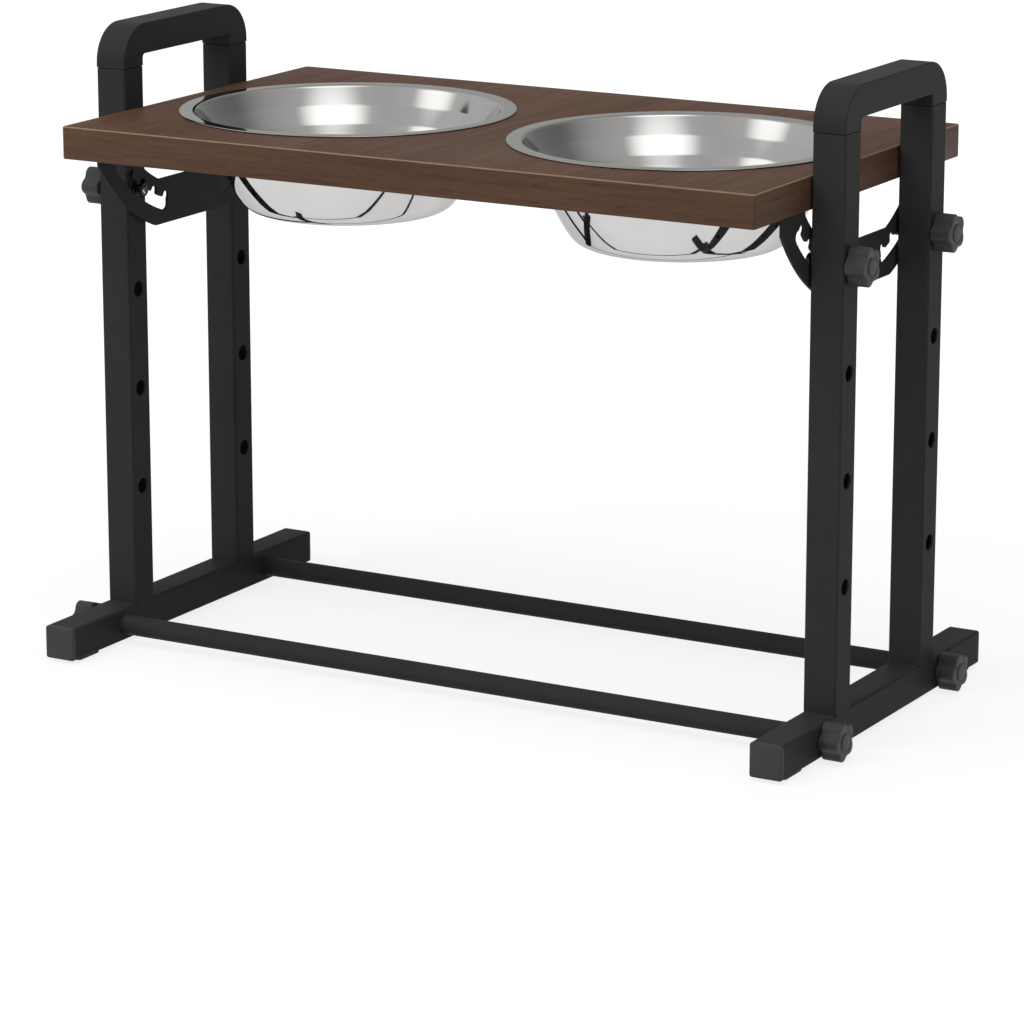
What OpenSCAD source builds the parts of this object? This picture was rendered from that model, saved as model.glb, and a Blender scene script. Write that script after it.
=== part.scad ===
/* Raised dog feeder. A wooden board with two lift-out steel bowls hangs between two side
   frames. Four clamp knobs carry it in one of several rows of holes, and let it tilt. */

/* [Board] */
// Length of the board, left to right
board_l = 560; // [500:1:640]
// Depth of the board, front to back
board_d = 332; // [280:1:400]
// Thickness of the board
board_t = 24; // [18:0.5:30]

/* [Bowls] */
// Distance from the rim of a bowl to the end of the board
bowl_end_gap = 16; // [8:0.5:30]
// Distance between the rims of the two bowls
bowl_gap = 28; // [10:0.5:40]
// Width of the flat rim
bowl_rim_w = 11.5; // [8:0.5:16]
// Depth of a bowl, from the top of the rim to the underside of the base
bowl_depth = 76; // [55:1:90]
// Lean of the wall from upright, in degrees
bowl_lean = 26; // [10:1:30]
// Outer radius of the corner between wall and base
bowl_corner_r = 20; // [10:1:25]
// Thickness of the sheet steel
bowl_sheet = 1; // [0.6:0.1:1.6]
// Room between the wall of a bowl and its hole in the board
bowl_hole_gap = 2; // [0.5:0.5:4]

/* [Side frames] */
// Width of the square tube of posts and feet
tube_w = 25; // [22:0.5:30]
// Wall of the square tube
tube_wall = 1.5; // [1:0.1:2.5]
// Outer corner radius of the square tube
tube_corner_r = 2; // [1:0.25:3]
// Distance between the front and rear post of one side, centre to centre
post_pitch = 141; // [120:1:160]
// Height of the top end of the posts above the floor
post_top = 436; // [430:1:520]
// Overall length of a foot, with its end caps
foot_l = 333; // [290:1:400]
// Gap between the end of the board and the posts
side_gap = 1.5; // [1:0.1:3]

/* [Feet] */
// Thickness of the end caps of the feet
cap_t = 3; // [2:0.5:5]
// Length of the cap's plug inside the tube
cap_plug_l = 14; // [8:1:25]
// Softened edge of the cap
cap_edge = 1.2; // [0.5:0.1:2]
// Thickness of the rubber pads under the feet
pad_h = 2.5; // [1.5:0.5:5]
// Length of a pad along its foot
pad_l = 26; // [16:1:40]
// Width of a pad
pad_w = 20; // [12:1:22]
// Distance from the end of the foot to its pad
pad_inset = 12; // [6:1:24]

/* [Handles] */
// Height of a handle above the posts
handle_h = 32; // [30:1:45]
// Thickness of the hand bar
handle_bar = 23; // [18:1:26]
// Outer corner radius of a handle
handle_corner_r = 28; // [12:1:29]
// Corner radius at the underside of the hand bar
handle_inner_r = 3; // [1:0.5:4]
// Length of the spigots that plug into the posts
spigot_l = 30; // [15:1:45]

/* [Rows of holes] */
// Distance of the highest row below the top end of the posts
row_drop = 90.5; // [85:0.5:110]
// Distance from one row to the next
row_pitch = 76; // [60:0.5:80]
// Number of rows
row_count = 4; // [2:1:4]
// Row that carries the board, counted from the lowest
board_row = 4; // [1:1:4]
// Diameter of the holes
hole_d = 12; // [9:0.5:14]

/* [Cross rods] */
// Outer diameter of a rod
rod_d = 15; // [12:0.5:20]
// Wall of a rod
rod_wall = 1.5; // [1:0.1:2]
// Distance between the front and the rear rod, centre to centre
rod_pitch = 196; // [180:1:220]
// Length of the threaded plug in each end of a rod
plug_l = 20; // [14:1:40]

/* [Star knobs] */
// Diameter over the lobes
knob_d = 28.5; // [24:0.5:32]
// Length of the lobed head
knob_l = 14.4; // [11:0.1:18]
// Number of lobes
knob_lobes = 5; // [5:1:8]
// Radius of the hollow between two lobes
knob_hollow_r = 7; // [5:0.5:10]
// Depth of the hollow between two lobes
knob_hollow = 2.2; // [1:0.1:3]
// Rounded front edge of the head
knob_edge_r = 2.5; // [2.25:0.25:4]
// Diameter of the raised disc on the face
knob_disc_d = 12.5; // [8:0.5:16]
// Height of the raised disc
knob_disc_h = 0.8; // [0.4:0.1:1.5]
// Diameter of the collar behind the head
collar_d = 17; // [14:0.5:20]
// Length of the collar
collar_l = 0.6; // [0.4:0.1:3]

/* [Studs and nuts] */
// Diameter of the thread
thread_d = 6; // [5:0.5:8]
// Depth of the stud in its knob
stud_hold = 10; // [6:0.5:12]
// Depth of the base studs in the plugs of the rods
stud_grip = 15; // [8:1:18]
// Width of the nuts across flats
nut_af = 10; // [9:0.5:14]
// Thickness of the nuts
nut_t = 3.2; // [2.5:0.1:5]
// Length of thread that shows past the nut
stud_tip = 1; // [0.5:0.5:3]

/* [Tilt brackets] */
// Thickness of the bracket's sheet steel
plate_t = 2; // [1.5:0.1:3]
// Distance from the end of the board to the outer face of the plate
plate_inset = 0.5; // [0:0.1:2]
// Width of the plate, front to back
plate_w = 247; // [220:1:254]
// Radius of the plate's lower edge about the tilt centre
plate_outer_r = 150; // [146:0.5:160]
// Radius of the plate's upper edge about the tilt centre
plate_inner_r = 116; // [108:0.5:117]
// Width of the window between the two tabs
window_w = 176; // [150:1:180]
// Height of the window's sill above the clamp studs
sill_up = 4; // [-8:0.5:6]
// Distance of the plate's straight lower edge below the clamp studs
plate_drop = 30.5; // [26:0.5:34]
// Radius of the arc that the clamp studs follow about the tilt centre
swing_r = 131; // [128:0.5:134]
// Height of the board's underside above the clamp studs
board_up = 37; // [34:0.5:44]
// Largest tilt each way, in degrees
tilt_max = 15; // [8:1:15]
// Tilt from one notch to the next, in degrees
notch_step = 7.5; // [5:0.5:7.5]
// Depth of the notches over the studs
notch_depth = 5.5; // [4:0.5:7]
// Distance of the slot's lower edge below the middles of the studs
slot_low = 6; // [3.5:0.5:7]
// Easing of the corners of the teeth between the notches
tooth_ease = 2; // [1:0.1:2.1]
// Depth of the flanges under the board
flange_d = 28; // [24:1:34]

/* [Bracket screws] */
// Diameter of the screws
screw_d = 4; // [3:0.5:5]
// Length of a screw in the board
screw_l = 15; // [8:0.5:16]
// Diameter of the screw's head
screw_head_d = 8; // [6:0.5:10]
// Height of the screw's head
screw_head_h = 2.4; // [1.5:0.1:4]
// Distance between the two screws of a flange
screw_pitch = 11; // [9:0.5:12]

/* [Fits] */
// Clearance all round a stud, a shoulder or a plug in its bore
fit = 0.05; // [0.02:0.01:0.1]
// Clearance between faces that move past each other
run_gap = 0.3; // [0.2:0.05:0.5]

/* [Hidden] */

$fn = 96;

// Overlap of a cutting shape past the face that it cuts
cut = 1;
// Thickness of the thin slices that a blend runs between
slice = 0.01;
left = -1;
right = 1;
front = -1;
rear = 1;
// Turn about a knob's axis that points its first lobe to the front
to_front = -90;

// Side frames, outward from the board
post_inner_x = board_l / 2 + side_gap;
frame_x = post_inner_x + tube_w / 2;
post_outer_x = post_inner_x + tube_w;
post_y = post_pitch / 2;
foot_z = pad_h + tube_w / 2;
post_bottom = pad_h + tube_w;
tube_inner_w = tube_w - 2 * tube_wall;
rod_y = rod_pitch / 2;
rod_inner_d = rod_d - 2 * rod_wall;

// Heights that follow the row in use
row_first = post_top - row_drop - (row_count - 1) * row_pitch;
clamp_z = row_first + (min(board_row, row_count) - 1) * row_pitch;
board_bottom = clamp_z + board_up;
board_top = board_bottom + board_t;

// Tilt centre: the clamp studs lie on the swing radius below it
tilt_z = clamp_z + sqrt(swing_r * swing_r - post_y * post_y);
swing_angle = asin(post_y / swing_r);
plate_outer_x = board_l / 2 - plate_inset;
plate_inner_x = plate_outer_x - plate_t;
plate_top_q = board_bottom - tilt_z;
plate_bottom_q = clamp_z - plate_drop - tilt_z;
sill_q = clamp_z + sill_up - tilt_z;

// Tilt slot: a channel with notches on its upper side
channel_half = thread_d / 2 + run_gap;
notch_w = thread_d + 2 * run_gap;
notch_top_r = swing_r - channel_half - notch_depth;
notch_each_way = floor(tilt_max / notch_step);
slot_mid_r = swing_r + (slot_low - channel_half) / 2;
slot_end_r = (slot_low + channel_half) / 2 - run_gap;

// Flanges and their screws
flange_w = (plate_w - window_w) / 2;
flange_y = (plate_w + window_w) / 4;
screw_mid_x = plate_inner_x - (flange_d - plate_t) / 2;

// Studs: the shoulder reaches past the post, almost to the plate
shoulder_d = hole_d - 2 * fit;
bore_d = thread_d + 2 * fit;
shoulder_l = post_outer_x - plate_outer_x - run_gap;
nut_face_x = plate_inner_x - run_gap;
clamp_thread_l = plate_outer_x + run_gap - nut_face_x + nut_t + stud_tip;

// Bowls: each fills its half of the board, up to its end, its edges and the other bowl
bowl_room = board_l / 2 - bowl_end_gap - bowl_gap / 2;
bowl_pitch = bowl_room + bowl_gap;
bowl_rim_d = min(bowl_room, board_d - 2 * bowl_end_gap);

// Bowl profile, measured down from the top of the rim
bowl_mouth_r = bowl_rim_d / 2 - bowl_rim_w;
corner_drop = bowl_depth - bowl_corner_r;
corner_mid_r = bowl_mouth_r - corner_drop * tan(bowl_lean) - bowl_corner_r / cos(bowl_lean);
bowl_hole_r = bowl_mouth_r + bowl_hole_gap;

steel_black = "#2e2e30";
plastic_black = "#262627";
rubber_black = "#1b1b1c";
zinc = "#8c8f92";
walnut = "#6b5246";
polished_steel = "#c9cbcd";

// Square with rounded corners, from exact arcs
module rounded_square(w, r) {
    square([w, w - 2 * r], center = true);
    square([w - 2 * r, w], center = true);
    for (x = [-1, 1], y = [-1, 1]) translate([x * (w / 2 - r), y * (w / 2 - r)]) circle(r);
}

// Square tube that runs up from the origin
module square_tube(l) {
    linear_extrude(l) difference() {
        rounded_square(tube_w, tube_corner_r);
        square(tube_inner_w, center = true);
    }
}

// Turns a shape built up the Z axis so that it points out of the left or the right side
module outward(side) {
    rotate([0, 90 * side, 0]) children();
}

// Stands a flat outline up across the depth of the feeder and gives it thickness along X
module upright_sheet(t) {
    rotate([90, 0, 90]) linear_extrude(t) children();
}

module foot_bar(side) {
    l = foot_l - 2 * cap_t;
    color(steel_black) difference() {
        translate([side * frame_x, l / 2, foot_z]) rotate([90, 0, 0]) square_tube(l);
        for (row = [front, rear])
            translate([side * frame_x, row * rod_y, foot_z]) rotate([0, 90, 0])
                cylinder(h = tube_w + 2 * cut, d = bore_d, center = true);
    }
}

module end_cap() {
    face_w = tube_w - 2 * cap_edge;
    straight = cap_t - cap_edge;
    linear_extrude(straight) rounded_square(tube_w, tube_corner_r);
    translate([0, 0, straight]) hull() {
        linear_extrude(slice) rounded_square(tube_w, tube_corner_r, $fn = 32);
        translate([0, 0, cap_edge - slice]) linear_extrude(slice)
            rounded_square(face_w, tube_corner_r, $fn = 32);
    }
    plug_w = tube_inner_w - 2 * fit;
    translate([0, 0, -cap_plug_l / 2]) cube([plug_w, plug_w, cap_plug_l], center = true);
}

module foot_caps(side) {
    color(plastic_black) for (row = [front, rear])
        translate([side * frame_x, row * (foot_l / 2 - cap_t), foot_z])
            rotate([-90 * row, 0, 0]) end_cap();
}

module foot_pads(side) {
    color(rubber_black) for (row = [front, rear])
        translate([side * frame_x, row * (foot_l / 2 - pad_inset - pad_l / 2), pad_h / 2])
            cube([pad_w, pad_l, pad_h], center = true);
}

module post(side, row) {
    color(steel_black) translate([side * frame_x, row * post_y, 0]) difference() {
        translate([0, 0, post_bottom]) square_tube(post_top - post_bottom);
        for (k = [0 : row_count - 1])
            translate([0, 0, row_first + k * row_pitch]) rotate([0, 90, 0])
                cylinder(h = tube_w + 2 * cut, d = hole_d, center = true);
    }
}

// Outline of a handle, seen from the side, standing on the joint with the posts
module handle_outline() {
    outer_w = post_pitch + tube_w;
    inner_w = post_pitch - tube_w;
    inner_h = handle_h - handle_bar;
    difference() {
        union() {
            translate([-outer_w / 2, 0]) square([outer_w, handle_h - handle_corner_r]);
            translate([-outer_w / 2 + handle_corner_r, 0])
                square([outer_w - 2 * handle_corner_r, handle_h]);
            for (s = [-1, 1])
                translate([s * (outer_w / 2 - handle_corner_r), handle_h - handle_corner_r])
                    circle(handle_corner_r);
        }
        translate([-outer_w, -2 * handle_corner_r]) square([2 * outer_w, 2 * handle_corner_r]);
        translate([-inner_w / 2, -cut]) square([inner_w, inner_h - handle_inner_r + cut]);
        translate([-inner_w / 2 + handle_inner_r, -cut])
            square([inner_w - 2 * handle_inner_r, inner_h + cut]);
        for (s = [-1, 1])
            translate([s * (inner_w / 2 - handle_inner_r), inner_h - handle_inner_r])
                circle(handle_inner_r);
    }
}

module handle(side) {
    spigot_w = tube_inner_w - 2 * fit;
    color(plastic_black) translate([side * frame_x, 0, post_top]) {
        translate([-tube_w / 2, 0, 0]) upright_sheet(tube_w) handle_outline();
        for (row = [front, rear])
            translate([0, row * post_y, -spigot_l / 2])
                cube([spigot_w, spigot_w, spigot_l], center = true);
    }
}

module cross_rod(row) {
    color(steel_black) translate([0, row * rod_y, foot_z]) rotate([0, 90, 0]) difference() {
        cylinder(h = 2 * post_inner_x, d = rod_d, center = true);
        cylinder(h = 2 * post_inner_x + 2 * cut, d = rod_inner_d, center = true);
    }
}

module rod_plugs(row) {
    color(zinc) for (side = [left, right])
        translate([side * (post_inner_x - plug_l / 2), row * rod_y, foot_z]) rotate([0, 90, 0])
            difference() {
                cylinder(h = plug_l, d = rod_inner_d - 2 * fit, center = true);
                cylinder(h = plug_l + 2 * cut, d = bore_d, center = true);
            }
}

// Outline of a knob: a disc with hollows between its lobes, one of which points to the front
module knob_outline() {
    difference() {
        circle(d = knob_d);
        for (k = [0 : knob_lobes - 1]) rotate(to_front + (k + 0.5) * 360 / knob_lobes)
            translate([knob_d / 2 - knob_hollow + knob_hollow_r, 0]) circle(knob_hollow_r);
    }
}

// Star knob that points up, with the back of its collar at the origin
module star_knob() {
    face = collar_l + knob_l;
    rim_r = knob_d / 2;
    color(plastic_black) difference() {
        union() {
            cylinder(h = collar_l + cut, d = collar_d);
            intersection() {
                translate([0, 0, collar_l]) linear_extrude(knob_l) knob_outline();
                rotate_extrude() {
                    square([rim_r, face - knob_edge_r]);
                    square([rim_r - knob_edge_r, face]);
                    translate([rim_r - knob_edge_r, face - knob_edge_r]) circle(knob_edge_r);
                }
            }
            cylinder(h = face + knob_disc_h, d = knob_disc_d);
        }
        translate([0, 0, -cut]) cylinder(h = stud_hold + fit + cut, d = bore_d);
    }
}

module base_knob(side, row) {
    translate([side * (post_outer_x + run_gap), row * rod_y, foot_z]) outward(side) star_knob();
}

module clamp_knob(side, row) {
    translate([side * (post_outer_x + run_gap), row * post_y, clamp_z]) outward(side) star_knob();
}

module base_stud(side, row) {
    l = run_gap + tube_w + stud_grip;
    color(zinc) translate([side * (post_outer_x + run_gap), row * rod_y, foot_z]) outward(side)
        translate([0, 0, -l]) cylinder(h = l + stud_hold, d = thread_d);
}

module clamp_stud(side, row) {
    color(zinc) translate([side * post_outer_x, row * post_y, clamp_z]) outward(side) {
        translate([0, 0, -shoulder_l]) cylinder(h = shoulder_l, d = shoulder_d);
        translate([0, 0, -shoulder_l - clamp_thread_l])
            cylinder(h = clamp_thread_l + shoulder_l + run_gap + stud_hold, d = thread_d);
    }
}

module clamp_nut(side, row) {
    color(steel_black) translate([side * nut_face_x, row * post_y, clamp_z]) outward(side)
        translate([0, 0, -nut_t]) difference() {
            cylinder(h = nut_t, d = nut_af / cos(30), $fn = 6);
            translate([0, 0, -cut]) cylinder(h = nut_t + 2 * cut, d = bore_d);
        }
}

// Places its children at the screws of both flanges of one bracket, at the board's underside
module at_screws(side) {
    for (row = [front, rear], k = [-0.5, 0.5])
        translate([side * (screw_mid_x + k * screw_pitch), row * flange_y, board_bottom]) children();
}

module board() {
    color(walnut) difference() {
        translate([-board_l / 2, -board_d / 2, board_bottom]) cube([board_l, board_d, board_t]);
        for (side = [left, right])
            translate([side * bowl_pitch / 2, 0, board_bottom - cut])
                cylinder(h = board_t + 2 * cut, r = bowl_hole_r);
        for (side = [left, right]) at_screws(side)
            translate([0, 0, -cut]) cylinder(h = screw_l + fit + cut, d = screw_d + 2 * fit);
    }
}

// What is cut from the corner of a tooth to ease it, about the corner
module eased_corner() {
    polygon([
        [-cut, -cut],
        [tooth_ease, -cut],
        [tooth_ease, 0],
        [tooth_ease * 0.3, tooth_ease * 0.3],
        [0, tooth_ease],
        [-cut, tooth_ease]
    ]);
}

// Slot for one clamp stud, about the tilt centre
module tilt_slot(row) {
    wedge = 2 * swing_r;
    rotate(row * swing_angle) {
        intersection() {
            difference() {
                circle(swing_r + slot_low);
                circle(swing_r - channel_half);
            }
            polygon([
                [0, 0],
                [-wedge * sin(tilt_max), -wedge * cos(tilt_max)],
                [wedge * sin(tilt_max), -wedge * cos(tilt_max)]
            ]);
        }
        for (s = [-1, 1]) rotate(s * tilt_max) translate([0, -slot_mid_r]) circle(slot_end_r);
        for (k = [-notch_each_way : notch_each_way]) rotate(k * notch_step) {
            translate([-notch_w / 2, -swing_r]) square([notch_w, swing_r - notch_top_r - notch_w / 2]);
            translate([0, -notch_top_r - notch_w / 2]) circle(d = notch_w);
            for (s = [-1, 1]) if (abs(k + s) <= notch_each_way)
                translate([s * notch_w / 2, -swing_r + channel_half]) scale([s, 1]) eased_corner();
        }
    }
}

// Outline of a bracket's plate, about the tilt centre
module plate_outline() {
    difference() {
        intersection() {
            circle(plate_outer_r);
            translate([-plate_w / 2, plate_bottom_q]) square([plate_w, plate_top_q - plate_bottom_q]);
        }
        intersection() {
            circle(plate_inner_r);
            translate([-window_w / 2, sill_q]) square([window_w, -sill_q]);
        }
        for (row = [front, rear]) tilt_slot(row);
    }
}

module bracket(side) {
    plate_x = side == right ? plate_inner_x : -plate_outer_x;
    flange_x = side * (plate_outer_x - flange_d / 2);
    color(steel_black) difference() {
        union() {
            translate([plate_x, 0, tilt_z]) upright_sheet(plate_t) plate_outline();
            for (row = [front, rear])
                translate([flange_x, row * flange_y, board_bottom - plate_t / 2])
                    cube([flange_d, flange_w, plate_t], center = true);
        }
        at_screws(side) translate([0, 0, -plate_t - cut])
            cylinder(h = plate_t + 2 * cut, d = screw_d + 2 * fit);
    }
}

module bracket_screws(side) {
    color(zinc) at_screws(side) {
        translate([0, 0, -plate_t - screw_head_h]) cylinder(h = screw_head_h, d = screw_head_d);
        translate([0, 0, -plate_t - screw_head_h / 2])
            cylinder(h = screw_head_h / 2 + plate_t + screw_l, d = screw_d);
    }
}

// Radius of the wall's outer face at a depth below the top of the rim
function wall_r(depth) = bowl_mouth_r - depth * tan(bowl_lean);

// Half section of a bowl: flat rim, leaning wall, round corner and flat base
module bowl_section() {
    skin = bowl_sheet / cos(bowl_lean);
    meet_drop = corner_drop + bowl_corner_r * sin(bowl_lean);
    translate([bowl_mouth_r - skin, -bowl_sheet]) square([bowl_rim_w + skin, bowl_sheet]);
    polygon([
        [wall_r(0), 0],
        [wall_r(0) - skin, 0],
        [wall_r(meet_drop) - bowl_sheet * cos(bowl_lean), -meet_drop + bowl_sheet * sin(bowl_lean)],
        [wall_r(meet_drop), -meet_drop]
    ]);
    translate([corner_mid_r, -corner_drop]) intersection() {
        difference() {
            circle(bowl_corner_r);
            circle(bowl_corner_r - bowl_sheet);
        }
        polygon([
            [0, 0],
            [0, -2 * bowl_corner_r],
            [2 * bowl_corner_r, -2 * bowl_corner_r],
            [2 * bowl_corner_r * cos(bowl_lean), -2 * bowl_corner_r * sin(bowl_lean)]
        ]);
    }
    translate([0, -bowl_depth]) square([corner_mid_r, bowl_sheet]);
}

module bowl(side) {
    color(polished_steel) translate([side * bowl_pitch / 2, 0, board_top + bowl_sheet])
        rotate_extrude() bowl_section();
}

foot_bar(left);  // foot_bar_left
foot_bar(right);  // foot_bar_right
foot_caps(left);  // foot_caps_left
foot_caps(right);  // foot_caps_right
foot_pads(left);  // foot_pads_left
foot_pads(right);  // foot_pads_right
post(left, front);  // post_front_left
post(left, rear);  // post_rear_left
post(right, front);  // post_front_right
post(right, rear);  // post_rear_right
handle(left);  // handle_left
handle(right);  // handle_right
cross_rod(front);  // cross_rod_front
cross_rod(rear);  // cross_rod_rear
rod_plugs(front);  // rod_plugs_front
rod_plugs(rear);  // rod_plugs_rear
base_stud(left, front);  // base_stud_front_left
base_stud(left, rear);  // base_stud_rear_left
base_stud(right, front);  // base_stud_front_right
base_stud(right, rear);  // base_stud_rear_right
base_knob(left, front);  // base_knob_front_left
base_knob(left, rear);  // base_knob_rear_left
base_knob(right, front);  // base_knob_front_right
base_knob(right, rear);  // base_knob_rear_right
clamp_stud(left, front);  // clamp_stud_front_left
clamp_stud(left, rear);  // clamp_stud_rear_left
clamp_stud(right, front);  // clamp_stud_front_right
clamp_stud(right, rear);  // clamp_stud_rear_right
clamp_knob(left, front);  // clamp_knob_front_left
clamp_knob(left, rear);  // clamp_knob_rear_left
clamp_knob(right, front);  // clamp_knob_front_right
clamp_knob(right, rear);  // clamp_knob_rear_right
clamp_nut(left, front);  // clamp_nut_front_left
clamp_nut(left, rear);  // clamp_nut_rear_left
clamp_nut(right, front);  // clamp_nut_front_right
clamp_nut(right, rear);  // clamp_nut_rear_right
board();
bracket(left);  // bracket_left
bracket(right);  // bracket_right
bracket_screws(left);  // bracket_screws_left
bracket_screws(right);  // bracket_screws_right
bowl(left);  // bowl_left
bowl(right);  // bowl_right
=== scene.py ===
import math

import bmesh
import bpy
from mathutils import Matrix, Vector


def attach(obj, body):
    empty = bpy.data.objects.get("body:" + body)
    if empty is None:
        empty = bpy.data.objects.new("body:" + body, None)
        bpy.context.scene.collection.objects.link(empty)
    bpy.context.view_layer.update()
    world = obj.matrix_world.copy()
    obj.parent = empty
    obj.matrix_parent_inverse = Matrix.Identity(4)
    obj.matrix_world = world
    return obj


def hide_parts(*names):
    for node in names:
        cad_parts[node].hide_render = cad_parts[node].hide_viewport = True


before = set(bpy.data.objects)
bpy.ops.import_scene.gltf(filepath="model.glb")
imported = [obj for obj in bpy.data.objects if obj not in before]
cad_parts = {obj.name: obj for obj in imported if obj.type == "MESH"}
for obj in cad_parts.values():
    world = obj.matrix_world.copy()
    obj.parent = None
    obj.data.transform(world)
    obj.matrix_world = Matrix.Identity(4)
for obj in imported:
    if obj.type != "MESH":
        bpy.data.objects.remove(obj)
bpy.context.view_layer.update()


# Foot bars: one square steel tube under each side frame, sawn to length, drilled across for the
# base studs and powder-coated black. The CAD solids are exact, so only the finish is new here.
SIDES = {"left": -1, "right": 1}
ROWS = {"front": -1, "rear": 1}
CORNERS = [(row, side) for side in SIDES for row in ROWS]
MM = 0.001


def linear(code):
    """Linear RGBA of an sRGB hex colour."""
    parts = [int(code[i : i + 2], 16) / 255 for i in (1, 3, 5)]
    return (*[c / 12.92 if c <= 0.04045 else ((c + 0.055) / 1.055) ** 2.4 for c in parts], 1.0)


def every(mm):
    """Scale of a texture whose features are about so many millimetres apart."""
    return 1 / (mm * MM)


def plug(tree, node, inputs):
    """Sets a node's inputs, or links them where they are given another node's output."""
    for key, value in inputs.items():
        if isinstance(value, bpy.types.NodeSocket):
            tree.links.new(value, node.inputs[key])
        else:
            node.inputs[key].default_value = value


def add(tree, kind, inputs=None, **settings):
    """Adds a node with its settings and inputs. Inputs that share a name go by their number: a Mix
    node's factor is 0, its numbers are 2 and 3, its vectors 4 and 5 and its colours 6 and 7."""
    made = tree.nodes.new(kind)
    for key, value in settings.items():
        setattr(made, key, value)
    plug(tree, made, inputs or {})
    return made


def finish(name, **sockets):
    """Starts a material and returns it, its node tree, its shader and its object coordinates."""
    made = bpy.data.materials.new(name)
    made.use_nodes = True
    tree = made.node_tree
    shader = tree.nodes["Principled BSDF"]
    for key, value in sockets.items():
        shader.inputs[key.replace("_", " ")].default_value = value
    return made, tree, shader, add(tree, "ShaderNodeTexCoord").outputs["Object"]


# Polyester powder baked on steel: matt black with a fine orange peel, whose matting agent takes
# nearly all the shine. The real peel is 0.5 mm across, too fine to show, so it is drawn at 1.8 mm.
powder_coat, tree, shader, where = finish("powder_coated_steel", IOR=1.5, Specular_IOR_Level=0.025)
peel = add(tree, "ShaderNodeTexNoise", {"Vector": where, "Scale": every(1.8), "Detail": 3.0})
cloud = add(tree, "ShaderNodeTexNoise", {"Vector": where, "Scale": every(60), "Detail": 3.0})
rub = add(tree, "ShaderNodeTexNoise",
          {"Vector": where, "Scale": every(9), "Detail": 6.0, "Roughness": 0.7})
tone = add(tree, "ShaderNodeMix",
           {0: cloud.outputs["Fac"], 6: linear("#2f2f30"), 7: linear("#353536")}, data_type="RGBA")
scuff = add(tree, "ShaderNodeMapRange",
            {"Value": rub.outputs["Fac"], "From Min": 0.66, "From Max": 0.8, "To Max": 0.25})
worn = add(tree, "ShaderNodeMix",
           {0: scuff.outputs[0], 6: tone.outputs[2], 7: linear("#3e3e3f")}, data_type="RGBA")
matt = add(tree, "ShaderNodeMapRange",
           {"Value": peel.outputs["Fac"], "To Min": 0.38, "To Max": 0.5})
bump = add(tree, "ShaderNodeBump",
           {"Height": peel.outputs["Fac"], "Strength": 0.2, "Distance": 0.12 * MM})
plug(tree, shader, {"Base Color": worn.outputs[2], "Roughness": matt.outputs[0],
                    "Normal": bump.outputs[0]})

# A node group that smooths the shading of curved CAD faces and keeps their edges crisp
smooth_group = bpy.data.node_groups.new("smooth_round_faces", "GeometryNodeTree")
for way in ("INPUT", "OUTPUT"):
    smooth_group.interface.new_socket("Mesh", in_out=way, socket_type="NodeSocketGeometry")
start = add(smooth_group, "NodeGroupInput")
angle = add(smooth_group, "GeometryNodeInputMeshEdgeAngle")
flat = add(smooth_group, "FunctionNodeCompare",
           {0: angle.outputs["Unsigned Angle"], 1: math.radians(30)}, operation="LESS_THAN")
faces = add(smooth_group, "GeometryNodeSetShadeSmooth",
            {0: start.outputs[0], "Shade Smooth": True}, domain="FACE")
edges = add(smooth_group, "GeometryNodeSetShadeSmooth",
            {0: faces.outputs[0], "Shade Smooth": flat.outputs[0]}, domain="EDGE")
add(smooth_group, "NodeGroupOutput", {0: edges.outputs[0]})


def dress(node, material):
    """Gives a CAD node its finish and smooth shading on its round faces."""
    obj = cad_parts[node]
    for place in obj.material_slots:
        place.material = material
    obj.modifiers.new("round faces", "NODES").node_group = smooth_group


for side in SIDES:
    dress(f"foot_bar_{side}", powder_coat)


# Foot end caps: moulded plastic caps that press into the ends of the foot bars, with a rounded
# face and a square plug inside the tube.
FRAME_X, TUBE, FOOT_Z, FOOT_END = 294, 25, 15, 163.5
CAP_T, CAP_EDGE, CAP_CORNER = 3, 1.4, 2
PLUG_W, PLUG_L, PLUG_CORNER, PLUG_LEAD = 21.9, 14, 1, 0.5


def rounded_outline(w, h, r, steps=6):
    """Points round a w by h rectangle with corners of radius r, anticlockwise."""
    points = []
    for k, (sx, sy) in enumerate(((1, 1), (-1, 1), (-1, -1), (1, -1))):
        for i in range(steps + 1):
            a = math.pi / 2 * (k + i / steps)
            points.append((sx * (w / 2 - r) + r * math.cos(a), sy * (h / 2 - r) + r * math.sin(a)))
    return points


def rounding(edge, steps=5):
    """(inset, rise) pairs round an edge of that radius, from its side to its face."""
    quarter = [math.pi / 2 * k / steps for k in range(steps + 1)]
    return [(edge * (1 - math.cos(a)), edge * math.sin(a)) for a in quarter]


def loft(bm, loops, closed=True):
    """Joins closed loops of points in millimetres by rows of faces, and returns their vertices."""
    rings = [[bm.verts.new(Vector(p) * MM) for p in loop] for loop in loops]
    for a, b in zip(rings, rings[1:]):
        for i in range(len(a)):
            bm.faces.new((a[i - 1], a[i], b[i], b[i - 1]))
    if closed:
        bm.faces.new(rings[0])
        bm.faces.new(rings[-1])
    return rings


def make(name, bm, *materials, crisp=35):
    """Turns a mesh in place into an object with smooth faces and crisp edges."""
    bmesh.ops.recalc_face_normals(bm, faces=bm.faces)
    mesh = bpy.data.meshes.new(name)
    bm.to_mesh(mesh)
    bm.free()
    mesh.shade_smooth()
    mesh.set_sharp_from_angle(angle=math.radians(crisp))
    for material in materials:
        mesh.materials.append(material)
    obj = bpy.data.objects.new(name, mesh)
    bpy.context.scene.collection.objects.link(obj)
    return obj


def stand_for(obj, node, body):
    """The piece takes a CAD node's place and joins a body; the node is hidden."""
    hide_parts(node)
    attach(obj, body)


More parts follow.
